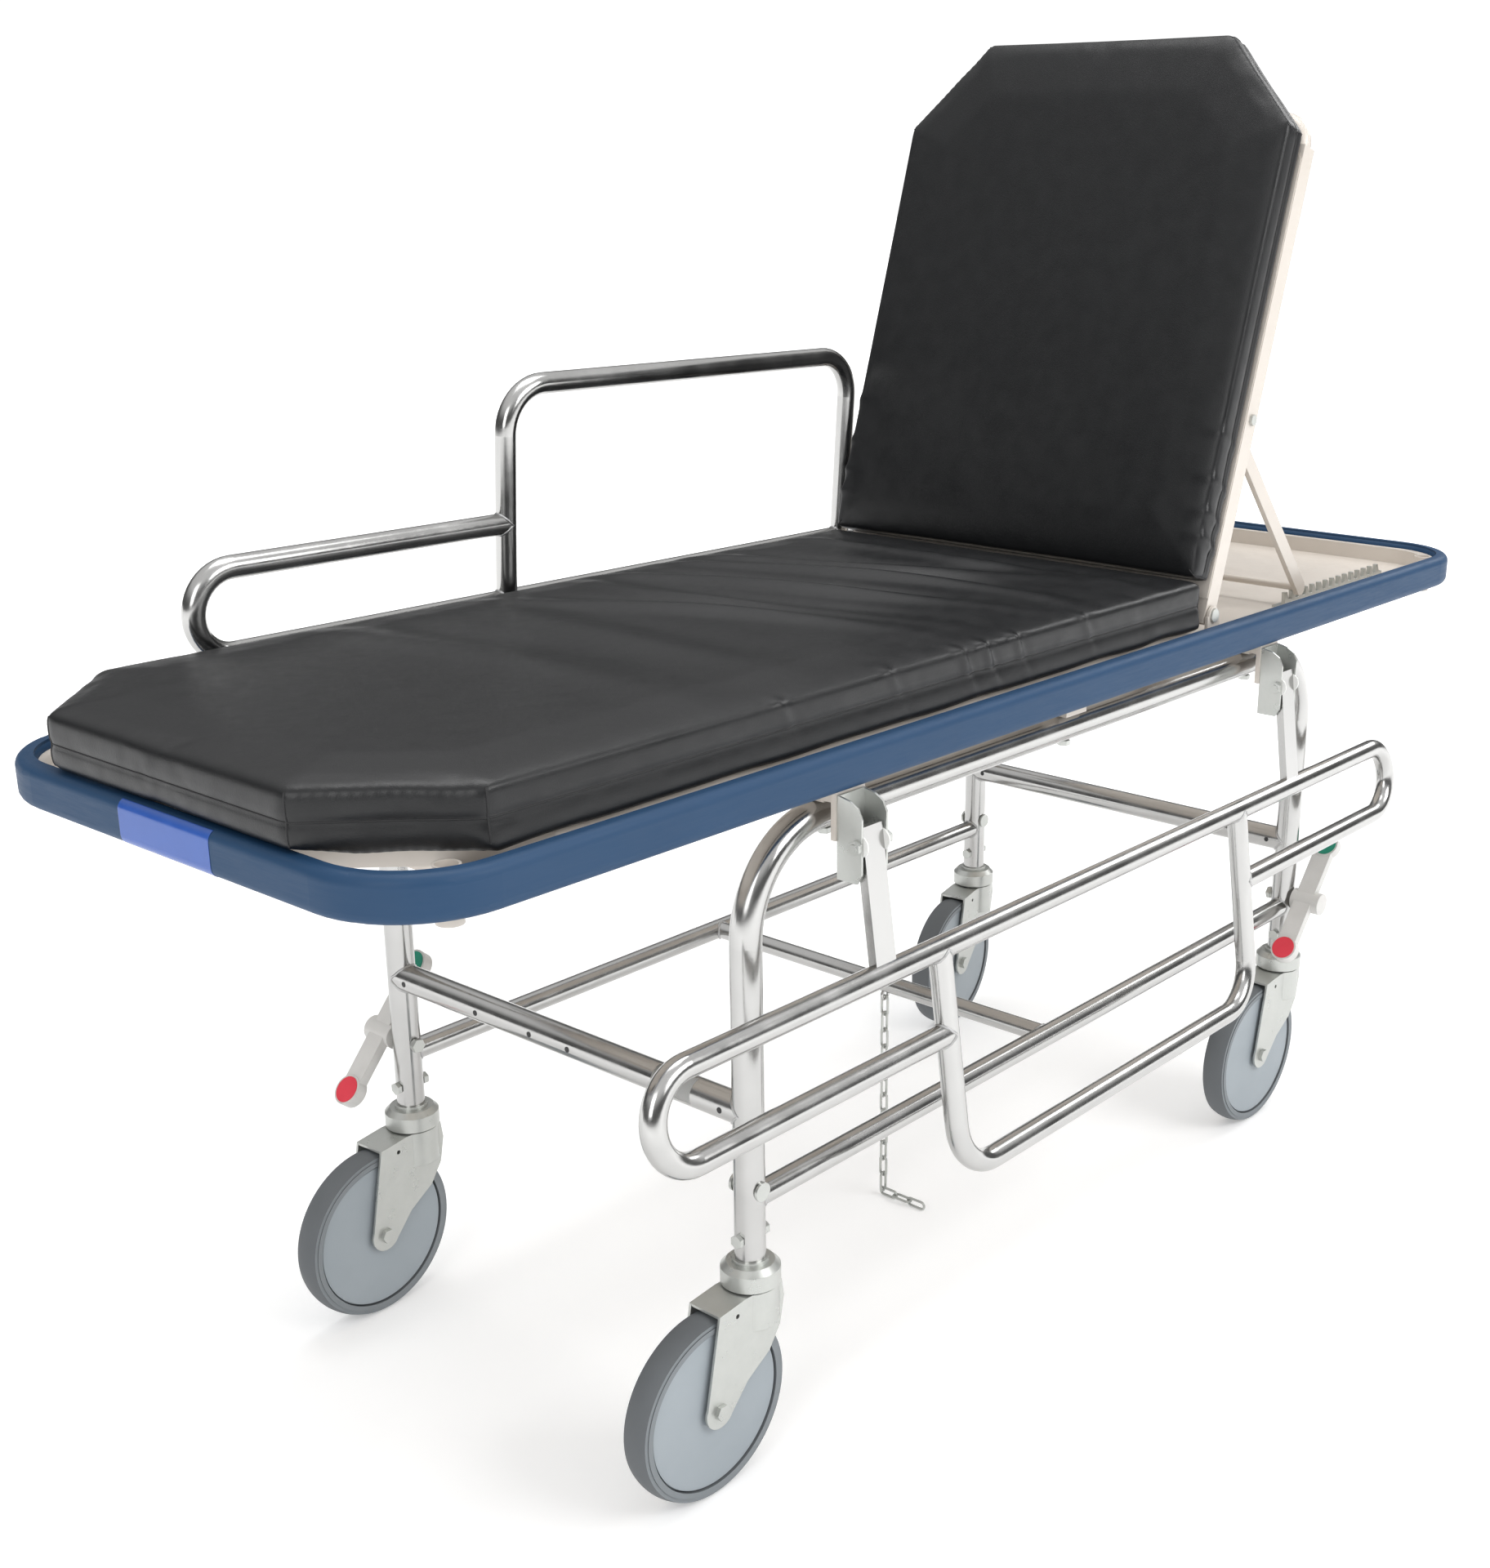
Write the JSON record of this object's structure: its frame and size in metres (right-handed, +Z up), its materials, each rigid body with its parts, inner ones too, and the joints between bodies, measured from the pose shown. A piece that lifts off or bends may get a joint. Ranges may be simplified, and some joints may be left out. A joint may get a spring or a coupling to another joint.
{
  "type": "stretcher trolley",
  "caption": "Hospital stretcher trolley with a raising backrest, two drop side rails, wrap-around bumper and tubular undercarriage on braked swivel casters.",
  "frame": {"origin": "on the floor under the middle of the litter", "axes": "+X towards the head end, +Y towards the patient's right side, +Z up"},
  "size_m": [1.9663, 0.733, 1.437],
  "materials": {
    "chrome_tube": "bright chrome plated tube",
    "zinc": "bright zinc plated pressed steel",
    "cream_paint": "satin cream powder coat",
    "bumper_blue": "satin blue extruded vinyl",
    "label_blue": "gloss film, blank",
    "vinyl_black": "fine grained upholstery vinyl, satin",
    "tyre_grey": "non-marking grey rubber",
    "wheel_grey": "moulded grey nylon",
    "pedal_grey": "moulded grey-white nylon",
    "pedal_red": "moulded rubber pad",
    "pedal_green": "moulded rubber pad",
    "nylon_white": "natural nylon",
    "black_plastic": "black hole plugs",
    "bearing_steel": "hardened steel",
    "brass_cam": "machined brass"
  },
  "bodies": {
    "root": {"side_hoop_left": "chrome_tube", "side_hoop_right": "chrome_tube", "lower_rail_left": "chrome_tube", "lower_rail_right": "chrome_tube", "foot_cross_tube": "chrome_tube", "head_cross_tube": "chrome_tube", "mid_cross_tube": "chrome_tube", "tube_plugs": "black_plastic", "leg_pins": "zinc", "frame_bolts": "zinc", "caster_stems": "zinc", "caster_bearings": "bearing_steel", "litter_frame": "cream_paint", "seat_deck": "cream_paint", "head_deck": "cream_paint", "bumper": "bumper_blue", "bumper_label": "label_blue", "iv_sockets": "cream_paint", "rail_posts": "cream_paint", "rail_brackets": "zinc", "rail_bolts": "zinc", "rail_bushes": "nylon_white", "prop_racks": "zinc", "hinge_brackets": "cream_paint", "hinge_bolts": "zinc", "seat_mattress": "vinyl_black", "drag_chain": "zinc"},
    "backrest": {"backrest_frame": "cream_paint", "backrest_panel": "cream_paint", "backrest_pad": "vinyl_black", "prop_bolts": "zinc"},
    "prop": {"prop_strut": "cream_paint"},
    "side_rail_left": {"side_rail_left": "chrome_tube"},
    "side_rail_right": {"side_rail_right": "chrome_tube"},
    "fork_foot_left": {"fork_foot_left": "zinc", "axle_foot_left": "zinc"},
    "wheel_foot_left": {"tyre_foot_left": "tyre_grey", "wheel_foot_left": "wheel_grey"},
    "fork_foot_right": {"fork_foot_right": "zinc", "axle_foot_right": "zinc"},
    "wheel_foot_right": {"tyre_foot_right": "tyre_grey", "wheel_foot_right": "wheel_grey"},
    "fork_head_left": {"fork_head_left": "zinc", "axle_head_left": "zinc"},
    "wheel_head_left": {"tyre_head_left": "tyre_grey", "wheel_head_left": "wheel_grey"},
    "fork_head_right": {"fork_head_right": "zinc", "axle_head_right": "zinc"},
    "wheel_head_right": {"tyre_head_right": "tyre_grey", "wheel_head_right": "wheel_grey"},
    "pedal_foot": {"pedal_foot": "pedal_grey", "pedal_foot_red": "pedal_red", "pedal_foot_green": "pedal_green", "cam_shaft_foot": "zinc"},
    "plunger_foot": {"plunger_foot": "brass_cam"},
    "pedal_head": {"pedal_head": "pedal_grey", "pedal_head_red": "pedal_red", "pedal_head_green": "pedal_green", "cam_shaft_head": "zinc"},
    "plunger_head": {"plunger_head": "brass_cam"}
  },
  "joints": [
    {"name": "backrest_hinge", "type": "hinge", "parent": "root", "child": "backrest", "pos_m": [0.27, 0, 0.764], "axis": [0, 1, 0], "range_deg": [0, 72.5]},
    {"name": "prop_pivot", "type": "hinge", "parent": "backrest", "child": "prop", "pos_m": [0.34217, 0, 0.99289], "axis": [0, 1, 0], "range_deg": [-118.36, 0]},
    {"name": "side_rail_left_pivot", "type": "hinge", "parent": "root", "child": "side_rail_left", "pos_m": [0, -0.328, 0.66], "axis": [-1, 0, 0], "range_deg": [0, 176]},
    {"name": "side_rail_right_pivot", "type": "hinge", "parent": "root", "child": "side_rail_right", "pos_m": [0, 0.328, 0.66], "axis": [-1, 0, 0], "range_deg": [0, 176]},
    {"name": "swivel_foot_left", "type": "hinge", "parent": "root", "child": "fork_foot_left", "pos_m": [-0.551, -0.27, 0.21], "axis": [0, 0, 1], "continuous": true},
    {"name": "wheel_foot_left_spin", "type": "hinge", "parent": "fork_foot_left", "child": "wheel_foot_left", "pos_m": [-0.61849, -0.26882, 0.1], "axis": [0.0175, 0.9998, 0], "continuous": true},
    {"name": "swivel_foot_right", "type": "hinge", "parent": "root", "child": "fork_foot_right", "pos_m": [-0.551, 0.27, 0.21], "axis": [0, 0, 1], "continuous": true},
    {"name": "wheel_foot_right_spin", "type": "hinge", "parent": "fork_foot_right", "child": "wheel_foot_right", "pos_m": [-0.61841, 0.26647, 0.1], "axis": [-0.0523, 0.9986, 0], "continuous": true},
    {"name": "swivel_head_left", "type": "hinge", "parent": "root", "child": "fork_head_left", "pos_m": [0.551, -0.27, 0.21], "axis": [0, 0, 1], "continuous": true},
    {"name": "wheel_head_left_spin", "type": "hinge", "parent": "fork_head_left", "child": "wheel_head_left", "pos_m": [0.48351, -0.26882, 0.1], "axis": [0.0175, 0.9998, 0], "continuous": true},
    {"name": "swivel_head_right", "type": "hinge", "parent": "root", "child": "fork_head_right", "pos_m": [0.551, 0.27, 0.21], "axis": [0, 0, 1], "continuous": true},
    {"name": "wheel_head_right_spin", "type": "hinge", "parent": "fork_head_right", "child": "wheel_head_right", "pos_m": [0.48416, 0.26061, 0.1], "axis": [-0.1392, 0.9903, 0], "continuous": true},
    {"name": "pedal_foot_pivot", "type": "hinge", "parent": "root", "child": "pedal_foot", "pos_m": [-0.551, 0.27, 0.316], "axis": [0, 1, 0], "range_deg": [0, 60]},
    {"name": "plunger_foot_slide", "type": "slide", "parent": "root", "child": "plunger_foot", "axis": [0, 0, 1], "range_m": [-0.0028, 0]},
    {"name": "pedal_head_pivot", "type": "hinge", "parent": "root", "child": "pedal_head", "pos_m": [0.551, -0.27, 0.316], "axis": [0, 1, 0], "range_deg": [0, 60]},
    {"name": "plunger_head_slide", "type": "slide", "parent": "root", "child": "plunger_head", "axis": [0, 0, 1], "range_m": [-0.0028, 0]}
  ],
  "couplings": [
    {"joint": "prop_pivot", "follows": "backrest_hinge", "ratio": -1.6318},
    {"joint": "plunger_foot_slide", "follows": "pedal_foot_pivot", "m_per_rad": -0.002481},
    {"joint": "plunger_head_slide", "follows": "pedal_head_pivot", "m_per_rad": -0.002481}
  ]
}
